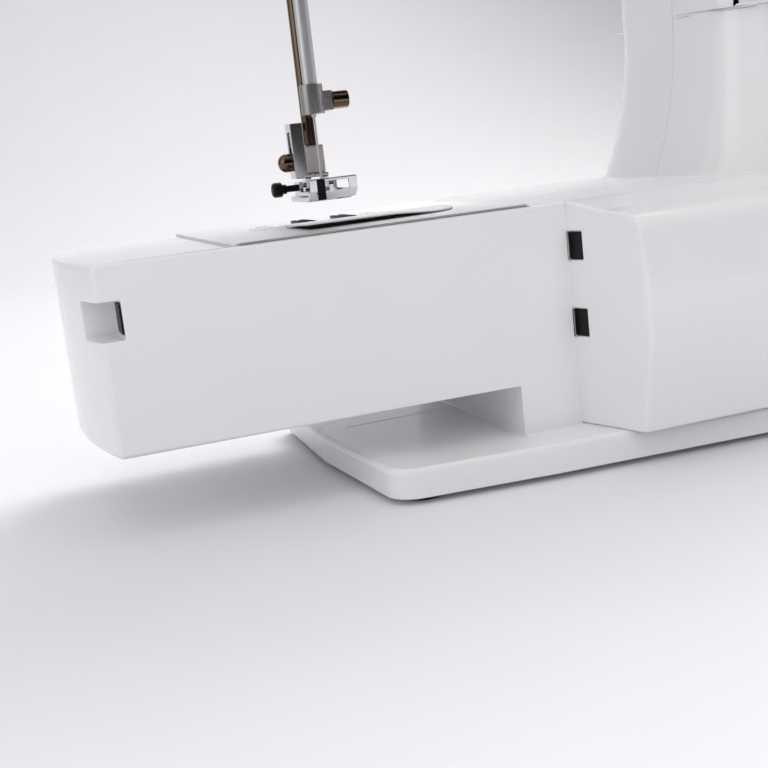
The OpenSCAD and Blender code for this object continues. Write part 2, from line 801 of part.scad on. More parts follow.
module upper_shaft() {
    color("silver") place() rod_x(crank_x0, wheel_x1 - 2, shaft_y, upper_z, shaft_r);
}

module crank_disc() {
    color("gray") place() difference() {
        union() {
            rod_x(crank_x0, crank_x1, shaft_y, upper_z, crank_r - 4);
            intersection() {
                rod_x(crank_x0 + 1, crank_x1 - 1, shaft_y, upper_z, crank_r);
                box([0, shaft_y - 12, upper_z - crank_r - 1], [60, shaft_y + 12, upper_z]);
            }
            rod_x(crank_x0 - 2, crank_x0 + 2, shaft_y, upper_z + 9, 2.5);
        }
        rod_x(crank_x0 - 3, crank_x1 + eps, shaft_y, upper_z, shaft_r);
    }
}

module pulley(x, y, z, r, bore) {
    difference() {
        union() {
            rod_x(x - 4, x + 4, y, z, r);
            for (s = [-5, 4]) rod_x(x + s, x + s + 1, y, z, r + 2.4);
        }
        rod_x(x - 6, x + 6, y, z, bore);
    }
}

module upper_pulley() {
    color("dimgray") place() pulley(belt_x, shaft_y, upper_z, pulley_r, shaft_r);
}

module lower_pulley() {
    color("dimgray") place() pulley(belt_x, lower_y, lower_z, pulley_r, shaft_r);
}

module lower_shaft() {
    color("silver") place() rod_x(-12, belt_x + 8, lower_y, lower_z, shaft_r);
}

module drive_gear() {
    teeth = 24;
    color("ivory") place() difference() {
        translate([-6, lower_y, lower_z]) rotate([90, 0, 90]) linear_extrude(12)
            polygon([for (i = [0:4 * teeth - 1])
                let (r = (i % 4 < 2) ? gear_r : gear_r - 1.6, a = i * 90 / teeth) r * [cos(a), sin(a)]]);
        rod_x(-7, 7, lower_y, lower_z, shaft_r);
    }
}

// Outline of a loop around circle r0 at the origin and circle r1 a distance d above it
function loop_points(d, r0, r1, n = 24) =
    let (wrap = asin((r0 - r1) / d))
    concat([for (i = [0:n]) let (a = 180 - wrap + i * (180 + 2 * wrap) / n) r0 * [cos(a), sin(a)]],
        [for (i = [0:n]) let (a = wrap + i * (180 - 2 * wrap) / n) [0, d] + r1 * [cos(a), sin(a)]]);

// A flat belt around two pulleys whose axes run along X
module belt(x, half, y0, z0, r0, y1, z1, r1) {
    d = norm([y1 - y0, z1 - z0]);
    translate([x - half, y0, z0]) rotate([-atan2(y1 - y0, z1 - z0), 0, 0]) rotate([90, 0, 90])
        linear_extrude(2 * half) difference() {
            polygon(loop_points(d, r0 + belt_t, r1 + belt_t));
            polygon(loop_points(d, r0, r1));
        }
}

module timing_belt() {
    color("black") place()
        belt(belt_x, 3.5, lower_y, lower_z, pulley_r + 0.25, shaft_y, upper_z, pulley_r + 0.25);
}

module drive_belt() {
    color("black") place()
        belt(drive_x, 3.5, motor_y, motor_z, motor_pulley_r + 0.25, shaft_y, upper_z, wheel_pulley_r + 0.25);
}

module motor() {
    color("darkgray") place() difference() {
        union() {
            rod_x(column_x + 22, drive_x - 10, motor_y, motor_z, motor_r);
            rod_x(drive_x - 10, drive_x - 8, motor_y, motor_z, 9);
        }
        rod_x(drive_x - 20, drive_x, motor_y, motor_z, 3 + run);
    }
}

module motor_pulley() {
    color("dimgray") place() union() {
        pulley(drive_x, motor_y, motor_z, motor_pulley_r, 3);
        rod_x(drive_x - 18, drive_x + 7, motor_y, motor_z, 3);
    }
}

module handwheel() {
    color("white") place() difference() {
        union() {
            rod_x(wheel_x0, wheel_x1, shaft_y, upper_z, wheel_r);
            rod_x(drive_x - 5, wheel_x0 + 1, shaft_y, upper_z, 9);
            pulley(drive_x, shaft_y, upper_z, wheel_pulley_r, 5);
        }
        rod_x(wheel_x1 - 6, wheel_x1 + eps, shaft_y, upper_z, 13);
        rod_x(drive_x - 6, wheel_x1 + eps, shaft_y, upper_z, shaft_r + run);
        for (a = [0:15:345])
            translate([0, shaft_y, upper_z]) rotate([a, 0, 0])
                rod_x(wheel_x0 + 4, wheel_x1 + eps, 0, wheel_r + 1.2, 2.4);
    }
}

module clutch_knob() {
    color("lightgray") place() difference() {
        rod_x(wheel_x1 - 5.6, knob_x1, shaft_y, upper_z, 12);
        rod_x(wheel_x1 - 8, wheel_x1 - 2, shaft_y, upper_z, shaft_r);
        for (a = [0:30:330])
            translate([0, shaft_y, upper_z]) rotate([a, 0, 0])
                rod_x(wheel_x1 - 2, knob_x1 + eps, 0, 13, 2);
    }
}

// ---------- needle bar ----------

module needle_frame() {
    color("darkgray") place() difference() {
        union() {
            box([-14, -6, guide_low_z - 0.2], [-5, bar_gap_y, swing_z + 6]);
            box([-7, -6, guide_low_z], [6, bar_gap_y, guide_low_z + 6.5]);
            box([-7, -6, guide_high_z], [6, bar_gap_y, guide_high_z + 4]);
        }
        for (z = [guide_low_z, guide_high_z]) rod_z(z - eps, z + 8, 0, 0, needle_bar_r + run);
        rod_y(-7, 5, swing_x, swing_z, 2.5 + run);
    }
}

module needle_bar() {
    color("silver") place() difference() {
        union() {
            rod_z(clamp_z + 2, needle_bar_top, 0, 0, needle_bar_r);
            // stud that the crank link drives
            box([-4.2, -4.6, guide_high_z - 3.4], [5, bar_gap_y, guide_high_z - 0.4]);
        }
        rod_z(clamp_z, needle_top_z, 0, 0, 1);
    }
}

module needle_clamp() {
    color("silver") place() difference() {
        union() {
            rod_z(clamp_z, clamp_z + 12, 0, 0, 4.8);
            box([0, -3, clamp_z + 1], [8, 3, clamp_z + 9]);
        }
        rod_z(clamp_z + 2, clamp_z + 13, 0, 0, needle_bar_r);
        rod_z(clamp_z - eps, clamp_z + 3, 0, 0, 1);
        rod_x(2.5, 9, 0, clamp_z + 5, 1.5);
    }
}

module clamp_screw() {
    color("silver") place() union() {
        rod_x(3.1, 8.2, 0, clamp_z + 5, 1.5);
        rod_x(8.1, 15, 0, clamp_z + 5, 3.6);
    }
}

module needle() {
    color("gainsboro") place() union() {
        rod_z(clamp_z - 1, needle_top_z, 0, 0, 1);
        rod_z(needle_tip_z + 3, clamp_z - 1, 0, 0, 0.5);
        translate([0, 0, needle_tip_z]) cylinder(r1 = 0.08, r2 = 0.5, h = 3);
    }
}

module take_up_lever() {
    eye = [-head_front - 5, take_z + 27.5];
    color("silver") place() difference() {
        union() {
            rod_x(take_x0, take_x1, take_y, take_z, 5);
            run_x(take_x0, take_x1) polygon([[take_y - 3, take_z + 3.6], [take_y + 3, take_z - 3.6],
                eye + [-1, -3], eye + [-1, 3]]);
            rod_x(take_x0, take_x1, eye.x, eye.y, 3.6);
        }
        rod_x(take_x0 - 2, take_x1 + eps, take_y, take_z, 2 + run);
        rod_x(take_x0 - 1, take_x1 + 1, eye.x, eye.y, 1.3);
    }
}

// ---------- presser bar and foot ----------

module presser_bar() {
    color("silver") place() difference() {
        union() {
            rod_z(block_z1, presser_lug_z + 12, 0, presser_y, presser_bar_r);
            box([-4, presser_y - 4, block_z0], [4, presser_y + 4, block_z1]);
            rod_z(collar_z, collar_z + 4, 0, presser_y, spring_r);
            box([-3, presser_y + 3, collar_z], [20, presser_y + 17, collar_z + 4]);
        }
        rod_x(-5, 2, presser_y, thumb_z, 2);
    }
}

module presser_spring() {
    color("silver") place() difference() {
        rod_z(collar_z + 4.1, presser_lug_z - 0.1, 0, presser_y, spring_r);
        rod_z(collar_z, presser_lug_z + eps, 0, presser_y, presser_bar_r + 0.3);
    }
}

module foot_holder() {
    low = foot_pin_z + 2.9;
    color("gray") place() difference() {
        union() {
            box([-9.4, presser_y - 4, low], [-4, presser_y + 4, block_z1 + 9.5]);
            box([-9.4, presser_y - 4, low], [5, presser_y + 4, block_z0]);
            for (x = [-5, 2.6])
                box([x, presser_y - 3, foot_pin_z - 3.4], [x + 2.4, presser_y + 3, low + 0.5]);
        }
        // clearance slot for the thumb screw's shank, open well above it
        box([-10, presser_y - 2.2, thumb_z], [-3, presser_y + 2.2, block_z1 + 6]);
        rod_x(-10, -3, presser_y, thumb_z, 2.2);
        rod_x(-6, 6, presser_y, foot_pin_z, 1 + run);
    }
}

module thumb_screw() {
    color("rosybrown") place() union() {
        rod_x(-9.5, 1.8, presser_y, thumb_z, 2 - run);
        rod_x(-13, -9.45, presser_y, thumb_z, 3.8);
        translate([-13, presser_y, thumb_z]) rotate([0, -90, 0]) cylinder(r1 = 3.8, r2 = 1.6, h = 2.2);
    }
}

module presser_foot() {
    y0 = -foot_l + presser_y + 5.5;
    y1 = presser_y + 5.5;
    half = foot_w / 2;
    color("lightgray") place() difference() {
        union() {
            run_x(-half, half)
                polygon(rounded([[y0, sole_z + 9], [y0 + 0.2, sole_z + 3.4], [y0 + 4, sole_z], [y1, sole_z],
                    [y1, sole_z + sole_t], [y0 + 4.6, sole_z + sole_t], [y0 + 1.6, sole_z + 4.4],
                    [y0 + 1.4, sole_z + 9]], [0, 2, 3, 0, 0, 1.5, 1, 0]));
            for (x = [-8.2, 6.6])
                box([x, presser_y - 3.5, sole_z + 1], [x + 1.6, level_y + 2.4, foot_pin_z + 1.6]);
            rod_x(-8, 8, presser_y, foot_pin_z, 1);
        }
        box([-4.4, -2.4, sole_z - eps], [4.4, 2.4, sole_z + 3]);
        box([-1.3, -9, sole_z - eps], [1.3, 0, sole_z + 3]);
        box([-3.5, y0 - eps, sole_z + 3.6], [half - 3.4, y0 + 3, sole_z + 7.8]);
        rod_x(-half - 1, -6, level_y, level_z, 1.4 + run);
    }
}

module levelling_button() {
    color("black") place() union() {
        rod_x(-12.4, -6.6, level_y, level_z, 1.4);
        rod_x(-14.4, -12.2, level_y, level_z, 2);
        rod_x(-18.6, -14.4, level_y, level_z, 3.1);
    }
}

module presser_lifter() {
    dir = [cos(-20), sin(-20)];
    side = [-sin(-20), cos(-20)];
    from = [lifter_x, lifter_z];
    color("white") place() difference() {
        union() {
            rod_y(18, 32, lifter_x, lifter_z, 5.6);
            box([lifter_x - 2.5, 18, lifter_z], [lifter_x + 2.5, 24, lifter_z + 14]);
            run_y(26, 32) polygon([from - side * 2, from + dir * 46 - side * 2,
                from + dir * 46 + side * 2, from + side * 2]);
        }
        rod_y(17, 33, lifter_x, lifter_z, 2.5 + run);
    }
}

// ---------- spool pin and controls ----------

module spool_pin() {
    color("white") place() union() {
        rod_x(spool_x0, winder_x - 16, spool_y, spool_z, 2.6);
        box([winder_x - 18, spool_y - 5, well_floor], [winder_x - 14, spool_y + 5, spool_z + 5]);
    }
}

module winder_spindle() {
    color("white") place() union() {
        rod_z(well_floor - 3.4, well_floor + 22, winder_x, spool_y, 3);
        rod_z(well_floor + 0.3, well_floor + 2.3, winder_x, spool_y, 8);
    }
}

module push_button(x) {
    union() {
        rod_y(-head_front - 1.8, -head_front + 8, x, button_z, button_r);
        rod_y(-head_front + wall + 0.3, -head_front + wall + 1.8, x, button_z, button_r + 1.5);
    }
}

module start_stop_button() { color("limegreen") place() push_button(start_x); }
module reverse_button() { color("gray") place() push_button(reverse_x); }

module speed_slider() {
    color("gray") place() union() {
        box([slider_x - 6, -head_front - 3.6, button_z - 4], [slider_x + 6, -head_front - gap, button_z + 4]);
        box([slider_x - 2.4, -head_front - 1, button_z - 1.5],
            [slider_x + 2.4, -head_front + wall + 2, button_z + 1.5]);
        box([slider_x - 5, -head_front + wall + 0.4, button_z - 4],
            [slider_x + 5, -head_front + wall + 2, button_z + 4]);
    }
}

// A knob with its spindle and the flange that holds it in the cover
module front_knob(x, z, r, proud) {
    difference() {
        union() {
            rod_y(-head_front - proud, -head_front - gap, x, z, r);
            rod_y(-head_front - 1, -head_front + 8, x, z, 3);
            rod_y(-head_front + wall + 0.3, -head_front + wall + 2, x, z, 5);
        }
        for (a = [0:24:336])
            translate([x, 0, z]) rotate([0, a, 0])
                rod_y(-head_front - proud - eps, -head_front - 2.5, 0, r + 0.9, 1.5);
    }
}

module stitch_selector() { color("white") place() front_knob(selector_x, selector_z, selector_r, 12); }
module length_dial() { color("white") place() front_knob(length_x, dial_z, dial_r, 9); }
module width_dial() { color("white") place() front_knob(width_x, dial_z, dial_r, 9); }

module tension_dial() {
    color("lightgray") place() union() {
        rod_x(tension_x - 3.2, tension_x + 3.2, tension_y, tension_z, tension_r);
        rod_x(tension_x - 6.8, tension_x + 6.8, tension_y, tension_z, 1.5);
    }
}

base_front_cover();
base_rear_cover();
rubber_feet();
arm_front_cover();
arm_rear_cover();
front_cover();
rear_cover();
face_cover();
spool_tray();
needle_plate();
plate_screws();
cover_screws();
cast_frame();
shaft_bushes();
bobbin_case();
motor();
timing_belt();
drive_belt();
control_board();
display_window();
spool_pin();
winder_spindle();
inlet_panel();
latch_sockets();
upper_shaft();
crank_disc();
upper_pulley();
clutch_knob();
handwheel();
motor_pulley();
needle_frame();
needle_bar();
needle_clamp();
clamp_screw();
needle();
take_up_lever();
lower_shaft();
lower_pulley();
drive_gear();
rotary_hook();
bobbin();
feed_dogs();
presser_bar();
foot_holder();
thumb_screw();
presser_foot();
levelling_button();
presser_spring();
presser_lifter();
hook_cover();
tension_dial();
start_stop_button();
reverse_button();
speed_slider();
stitch_selector();
length_dial();
width_dial();
top_lid();
carry_handle();
power_rocker();
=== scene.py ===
import json
import math

import bmesh
import bpy
from bpy.props import FloatProperty, FloatVectorProperty, PointerProperty
from mathutils import Matrix, Vector


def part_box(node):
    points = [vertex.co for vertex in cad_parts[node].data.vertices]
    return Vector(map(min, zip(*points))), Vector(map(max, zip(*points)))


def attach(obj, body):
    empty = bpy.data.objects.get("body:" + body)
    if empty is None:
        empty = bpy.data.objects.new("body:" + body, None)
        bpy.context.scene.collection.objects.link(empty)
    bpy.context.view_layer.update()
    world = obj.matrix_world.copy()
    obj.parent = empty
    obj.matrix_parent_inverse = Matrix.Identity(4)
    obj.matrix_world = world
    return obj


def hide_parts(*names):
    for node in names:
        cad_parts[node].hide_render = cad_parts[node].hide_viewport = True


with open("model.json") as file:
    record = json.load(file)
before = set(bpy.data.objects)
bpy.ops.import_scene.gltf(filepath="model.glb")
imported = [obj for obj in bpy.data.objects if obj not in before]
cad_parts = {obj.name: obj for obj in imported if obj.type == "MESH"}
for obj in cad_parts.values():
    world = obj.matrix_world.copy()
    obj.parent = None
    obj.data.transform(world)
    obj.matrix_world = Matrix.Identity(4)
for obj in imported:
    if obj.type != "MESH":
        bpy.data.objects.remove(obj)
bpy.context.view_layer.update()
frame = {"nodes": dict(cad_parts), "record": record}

bl_info = {
    "name": "Free-arm sewing machine",
    "version": (1, 0, 0),
    "blender": (4, 5, 0),
    "location": "View3D > Sidebar > Sewing",
    "description": "Finishes a free-arm sewing machine around its engineering model",
    "category": "Add Mesh",
}

MM = 0.001
UP = Vector((0, 0, 1))

# Where each node belongs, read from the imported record
BODY = {n: b for b, nodes in frame["record"]["behaviour"]["bodies"].items() for n in nodes}


# ---------- places read from the frame ----------

def middle(node):
    low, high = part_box(node)
    return (low + high) / 2


NEEDLE = middle("needle")                       # its x and y are the needle axis
PLATE_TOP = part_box("needle_plate")[1].z
FOOT_LOW, FOOT_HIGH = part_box("presser_foot")
BAR_LOW, BAR_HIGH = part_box("presser_bar")
THUMB_LOW, THUMB_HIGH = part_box("thumb_screw")
LEVEL_LOW, LEVEL_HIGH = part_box("levelling_button")
SPRING_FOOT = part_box("presser_spring")[0].z
ARM_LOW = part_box("arm_front_cover")[0]
ARM_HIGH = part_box("arm_rear_cover")[1]
ARM_DEPTH = 69.2 * MM                           # the arm covers' height from underside to top
BASE_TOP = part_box("base_front_cover")[1].z
ON_FACE = 0.05 * MM                             # nearer than this to a face's level is on that face


def at(x, y, z):
    """A point given in millimetres from the needle axis and the table."""
    return Vector((NEEDLE.x + x * MM, NEEDLE.y + y * MM, z * MM))


# ---------- colours and sizes that a user may change ----------

def linear(code):
    """Linear RGB from an sRGB hex value."""
    parts = [int(code[i:i + 2], 16) / 255 for i in (0, 2, 4)]
    return tuple(c / 12.92 if c <= 0.04045 else ((c + 0.055) / 1.055) ** 2.4 for c in parts)


def colour(name, about, code):
    return FloatVectorProperty(name=name, description=about, subtype="COLOR", size=3,
                               min=0.0, max=1.0, default=linear(code))


class MachineColours(bpy.types.PropertyGroup):
    casing: colour("Casing", "Glossy white of the moulded covers", "F0F0F2")
    trim: colour("Trim", "Light grey of the tray and small knobs", "BFC1C6")
    dark: colour("Dark plastic", "Near black of sockets and switches", "0A0A0C")
    steel: colour("Steel", "Ground and plated steel", "B4B3B5")
    bronze: colour("Dark nickel", "Warm dark nickel of the presser bar", "6E5C4E")
    chrome: colour("Chrome", "Polished chrome plate", "D6D7DA")
    start: colour("Start button", "Lit start and stop button", "5DBB6E")
    floor: colour("Floor", "Pale surface under the machine", "EDEDF1")


class MachineSizes(bpy.types.PropertyGroup):
    cover_edge: FloatProperty(name="Cover edge", description="Rounding of the covers' moulded edges",
                              default=1.1 * MM, min=0.2 * MM, max=1.3 * MM, unit="LENGTH")
    base_roll: FloatProperty(name="Base roll", description="Rounding along the top of the base",
                             default=2.4 * MM, min=0.5 * MM, max=2.8 * MM, unit="LENGTH")
    arm_roll: FloatProperty(name="Arm roll", description="Rounding of the free arm's outer edges",
                            default=1.8 * MM, min=0.4 * MM, max=2.2 * MM, unit="LENGTH")
    lens: FloatProperty(name="Lens", description="Focal length of the camera in millimetres",
                        default=56.1, min=20.0, max=120.0)


def colours():
    return bpy.context.scene.machine_colours


def sizes():
    return bpy.context.scene.machine_sizes


# ---------- materials ----------

def add_node(tree, kind, sockets=None, **settings):
    """Adds one node, sets it, and fills or links its input sockets."""
    node = tree.nodes.new(kind)
    for name, value in settings.items():
        setattr(node, name, value)
    for socket, value in (sockets or {}).items():
        if isinstance(value, bpy.types.NodeSocket):
            tree.links.new(value, node.inputs[socket])
        else:
            node.inputs[socket].default_value = value
    return node


def blank(name):
    """A new material and its bare shader, or None for the shader if the material exists."""
    made = bpy.data.materials.get(name)
    if made:
        return made, None
    made = bpy.data.materials.new(name)
    made.use_nodes = True
    return made, made.node_tree.nodes["Principled BSDF"]


def speckle(tree, grain, detail=2.0, stretch=(1, 1, 1), place=None):
    """Noise of a real grain size in metres, stretched along one axis for drawn or ground metal."""
    place = place or add_node(tree, "ShaderNodeTexCoord").outputs["Object"]
    scaled = add_node(tree, "ShaderNodeMapping", {"Vector": place, "Scale": stretch})
    return add_node(tree, "ShaderNodeTexNoise", {"Vector": scaled.outputs["Vector"], "Scale": 1 / grain,
                                                 "Detail": detail, "Roughness": 0.55})


def shade(tree, factor, base, change):
    """Base colour that drifts lighter and darker by change as factor goes from 0 to 1."""
    ramp = add_node(tree, "ShaderNodeValToRGB", {"Fac": factor})
    ramp.color_ramp.elements[0].position = 0.3
    ramp.color_ramp.elements[1].position = 0.7
    ramp.color_ramp.elements[0].color = (*[max(0, c * (1 - change)) for c in base], 1)
    ramp.color_ramp.elements[1].color = (*[min(1, c * (1 + change)) for c in base], 1)
    return ramp.outputs["Color"]


def spread(tree, factor, low, high, start=0.0, end=1.0):
    """Factor, from start to end, brought into the range low to high."""
    return add_node(tree, "ShaderNodeMapRange", {"Value": factor, "From Min": start, "From Max": end,
                                                 "To Min": low, "To Max": high}).outputs["Result"]


def moulded(name, base, rough, grain, depth, drift=0.012, coat=0.0, ior=1.53):
    """Injection-moulded plastic: even colour, a faint flow mottle and the tool's fine surface."""
    made, shader = blank(name)
    if shader is None:
        return made
    tree = made.node_tree
    flow = speckle(tree, 45 * MM, 3)
    skin = speckle(tree, grain, 3)
    shader.inputs["IOR"].default_value = ior
    shader.inputs["Coat Weight"].default_value = coat
    shader.inputs["Coat Roughness"].default_value = 0.04
    tree.links.new(shade(tree, flow.outputs["Fac"], base, drift), shader.inputs["Base Color"])
    tree.links.new(spread(tree, skin.outputs["Fac"], rough * 0.85, rough * 1.15), shader.inputs["Roughness"])
    bump = add_node(tree, "ShaderNodeBump",
                    {"Height": skin.outputs["Fac"], "Strength": 0.6, "Distance": depth})
    tree.links.new(bump.outputs["Normal"], shader.inputs["Normal"])
    return made


def machined(name, base, rough, line, stretch, depth, drift=0.06):
    """Metal with the fine lines that grinding, drawing or turning leaves, and a little tarnish."""
    made, shader = blank(name)
    if shader is None:
        return made
    tree = made.node_tree
    lines = speckle(tree, line, 4, stretch)
    stain = speckle(tree, 9 * MM, 5)
    shader.inputs["Metallic"].default_value = 1.0
    tree.links.new(shade(tree, stain.outputs["Fac"], base, drift), shader.inputs["Base Color"])
    tree.links.new(spread(tree, lines.outputs["Fac"], rough * 0.7, rough * 1.3), shader.inputs["Roughness"])
    bump = add_node(tree, "ShaderNodeBump",
                    {"Height": lines.outputs["Fac"], "Strength": 0.5, "Distance": depth})
    tree.links.new(bump.outputs["Normal"], shader.inputs["Normal"])
    return made


def gloss_abs():
    # High-gloss white ABS from a polished mould: sharp reflections, barely any grain
    return moulded("gloss_white_abs", colours().casing, 0.16, 0.9 * MM, 0.0012 * MM, 0.008)


def satin_abs():
    # White ABS knobs from a lightly etched mould: softer reflections, visible fine grain
    return moulded("satin_white_abs", colours().casing, 0.34, 0.35 * MM, 0.006 * MM, 0.012)


def grey_abs():
    # Light grey ABS, spark-eroded texture that spreads the light
    return moulded("textured_grey_abs", colours().trim, 0.46, 0.4 * MM, 0.012 * MM, 0.02)


def black_nylon():
    # Black glass-filled nylon: dull, light-swallowing skin with a faint drift of tone
    made = moulded("black_nylon", colours().dark, 0.42, 0.3 * MM, 0.01 * MM, 0.25)
    made.node_tree.nodes["Principled BSDF"].inputs["Specular IOR Level"].default_value = 0.22
    return made


def white_nylon():
    # Natural nylon, hobbed into a gear: milky, slightly waxy, a little light under its skin
    made = moulded("natural_nylon", linear("E3DFD2"), 0.38, 0.5 * MM, 0.004 * MM, 0.03)
    made.node_tree.nodes["Principled BSDF"].inputs["Subsurface Weight"].default_value = 0.15
    return made


def rubber(name, code, rough):
    """Moulded rubber: dark, dry, with a matt grain and a dusty drift of tone."""
    return moulded(name, linear(code), rough, 0.5 * MM, 0.02 * MM, 0.18, ior=1.51)


def chrome_plate():
    # Decorative chrome over polished steel: mirror-bright with the faintest buffing haze
    return machined("chrome_plate", colours().chrome, 0.06, 0.6 * MM, (1, 1, 6), 0.0004 * MM, 0.02)


def ground_steel():
    # Centreless-ground shaft steel: fine lines around the bar, bright
    return machined("ground_steel", colours().steel, 0.2, 0.25 * MM, (1, 1, 8), 0.002 * MM)


def plate_steel():
    # Satin needle plate: brushed along its length, then lightly plated
    return machined("brushed_plate_steel", linear("ECEBEC"), 0.42, 0.35 * MM, (0.05, 6, 6), 0.002 * MM, 0.025)


def zinc_steel():
    # Zinc-plated screws, collar and needle clamp: soft grey sheen
    return machined("zinc_plated_steel", linear("A9A7A8"), 0.28, 0.4 * MM, (3, 3, 1), 0.002 * MM)


def dark_nickel():
    # Polished dark nickel: deep, warm reflections
    return machined("dark_nickel_steel", colours().bronze, 0.12, 0.3 * MM, (1, 1, 7), 0.0008 * MM, 0.12)


def satin_nickel():
    # Bead-blasted nickel block: pale grey, even and soft
    return machined("satin_nickel_block", linear("DAD4CF"), 0.36, 0.3 * MM, (1, 1, 1), 0.003 * MM, 0.03)


def blued_steel():
    # Hardened feed dogs: blue-grey oxide, worn brighter on the teeth
    return machined("blued_feed_steel", linear("4C525F"), 0.3, 0.3 * MM, (4, 1, 4), 0.004 * MM, 0.2)


def cast_aluminium():
    # Pressure die casting: grainy, pale grey, uneven sheen
    return machined("die_cast_aluminium", linear("9EA0A3"), 0.5, 1.1 * MM, (1, 1, 1), 0.03 * MM, 0.08)


def sintered_bronze():
    # Oil-filled sintered bush: porous, warm, satin
    return machined("sintered_bronze", linear("A07A4C"), 0.42, 0.35 * MM, (1, 1, 1), 0.012 * MM, 0.15)


def motor_enamel():
    # Baked grey enamel on the motor's shell: thin orange peel under a gloss
    return moulded("grey_motor_enamel", linear("6B7076"), 0.3, 1.6 * MM, 0.01 * MM, 0.04, coat=0.3, ior=1.5)


def clear_styrene():
    # Clear polystyrene bobbin: glassy with a faint blue cast
    made = moulded("clear_polystyrene", linear("DDE6EA"), 0.08, 1.5 * MM, 0.001 * MM, 0.01, ior=1.59)
    made.node_tree.nodes["Principled BSDF"].inputs["Transmission Weight"].default_value = 0.85
    return made


def board_mask():
    # Green solder mask over fine copper tracks
    made, shader = blank("green_solder_mask")
    if shader is None:
        return made
    tree = made.node_tree
    place = add_node(tree, "ShaderNodeTexCoord").outputs["Object"]
    tracks = add_node(tree, "ShaderNodeTexBrick", {
        "Vector": place, "Scale": 1 / (6 * MM), "Mortar": (*linear("4E8A4A"), 1), "Mortar Size": 0.06,
        "Color1": (*linear("1F5B38"), 1), "Color2": (*linear("27693F"), 1)})
    tree.links.new(tracks.outputs["Color"], shader.inputs["Base Color"])
    shader.inputs["Roughness"].default_value = 0.3
    return made


def display_glass():
    # Dark liquid-crystal window: smoked acrylic with the segment field glowing faintly behind it
    made, shader = blank("smoked_display_acrylic")
    if shader is None:
        return made
    tree = made.node_tree
    haze = speckle(tree, 18 * MM, 2)
    tree.links.new(shade(tree, haze.outputs["Fac"], linear("2B3431"), 0.25), shader.inputs["Base Color"])
    shader.inputs["Roughness"].default_value = 0.08
    shader.inputs["Coat Weight"].default_value = 1.0
    return made


def start_plastic():
    # Translucent green button cap, softly lit from behind
    made = moulded("lit_green_acrylic", colours().start, 0.22, 0.6 * MM, 0.003 * MM, 0.03, ior=1.49)
    shader = made.node_tree.nodes["Principled BSDF"]
    shader.inputs["Emission Color"].default_value = (*colours().start, 1)
    shader.inputs["Emission Strength"].default_value = 0.12
    return made


def mark_ink():
    # Engraved and filled guide marks on steel
    return moulded("filled_guide_marks", linear("5C5B60"), 0.5, 0.2 * MM, 0.001 * MM, 0.1)


def floor_paper():
    # Matt seamless studio paper: pale and even, its fibre grain drawn 2 mm coarse so that it shows
    return moulded("seamless_paper", colours().floor, 0.62, 2.2 * MM, 0.02 * MM, 0.006, ior=1.4)


# ---------- making pieces ----------

SHARP = math.radians(38)                        # edges turned further than this are shaded sharp
CREASE = 26                                     # degrees, above which an edge is rounded
ROOM = 1.15                                     # free face beside an edge, as a share of its rounding

def settle(name, work, material, body, replaces=()):
    """Turns a bmesh into a finished piece that rides on a body."""
    for face in work.faces:
        face.smooth = True
    for edge in work.edges:
        edge.smooth = len(edge.link_faces) == 2 and edge.calc_face_angle(0) < SHARP
    mesh = bpy.data.meshes.new(name)
    work.to_mesh(mesh)
    work.free()
    piece = bpy.data.objects.new(name, mesh)
    bpy.context.scene.collection.objects.link(piece)
    mesh.materials.append(material)
    weigh = piece.modifiers.new("even_shading", "WEIGHTED_NORMAL")
    weigh.keep_sharp = True
    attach(piece, body)
    if replaces:
        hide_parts(*replaces)
    return piece


def roomy(edge, need):
    """Whether the faces beside an edge leave room to round it by need."""
    for vert in edge.verts:
        along = (edge.other_vert(vert).co - vert.co).normalized()
        for other in vert.link_edges:
            if other is edge:
                continue
            reach = other.other_vert(vert).co - vert.co
            if reach.length < need and abs(reach.normalized().dot(along)) < 0.85:
                return False
    return True


def round_edges(work, width, crease=CREASE, segments=3, keep=lambda edge: True):
    """Rounds every edge sharper than crease degrees that has room for it."""
    limit = math.radians(crease)
    picked = [e for e in work.edges if len(e.link_faces) == 2 and e.calc_face_angle(0) > limit
              and keep(e) and roomy(e, ROOM * width)]
    bmesh.ops.bevel(work, geom=picked, offset=width, offset_type="OFFSET", segments=segments, profile=0.5,
                    affect="EDGES", clamp_overlap=False, material=-1)


def base_rim(edge):
    """The top outer edge of the base, where a flat top meets a side that runs down to the feet."""
    if any(vert.co.z < BASE_TOP - ON_FACE for vert in edge.verts):
        return False
    return any(min(vert.co.z for vert in face.verts) < BASE_TOP - 8 * MM for face in edge.link_faces)


def off_base_top(edge):
    """Every edge but those in the base's flat top, whose openings are hidden by the covers above it."""
    return any(abs(vert.co.z - BASE_TOP) > ON_FACE for vert in edge.verts)


def arm_corner(edge):
    """The free arm's long outer edges and the edges of its end face."""
    mid = (edge.verts[0].co + edge.verts[1].co) / 2
    level = mid.z > ARM_HIGH.z - ON_FACE or abs(mid.z - ARM_HIGH.z + ARM_DEPTH) < ON_FACE
    end = mid.x < ARM_LOW.x + 9 * MM
    side = mid.y < ARM_LOW.y + ON_FACE or mid.y > ARM_HIGH.y - ON_FACE
    notch = ARM_HIGH.z - 28 * MM < mid.z < ARM_HIGH.z - 12 * MM and mid.x < ARM_LOW.x + 18 * MM
    return not notch and (level and (side or end) or end and side)


def copy_of(node):
    """A welded copy of a CAD node with its flat faces made whole."""
    work = bmesh.new()
    work.from_mesh(frame["nodes"][node].data)
    bmesh.ops.remove_doubles(work, verts=work.verts, dist=0.003 * MM)
    bmesh.ops.dissolve_limit(work, angle_limit=math.radians(0.35), verts=work.verts, edges=work.edges)
    return work


def softened(node, width, material, segments=3):
    """Stands in for a CAD node, with the edges that moulding or tumbling rounds."""
    work = copy_of(node)
    round_edges(work, width, segments=segments)
    return settle(node + "_finished", work, material, BODY[node], (node,))


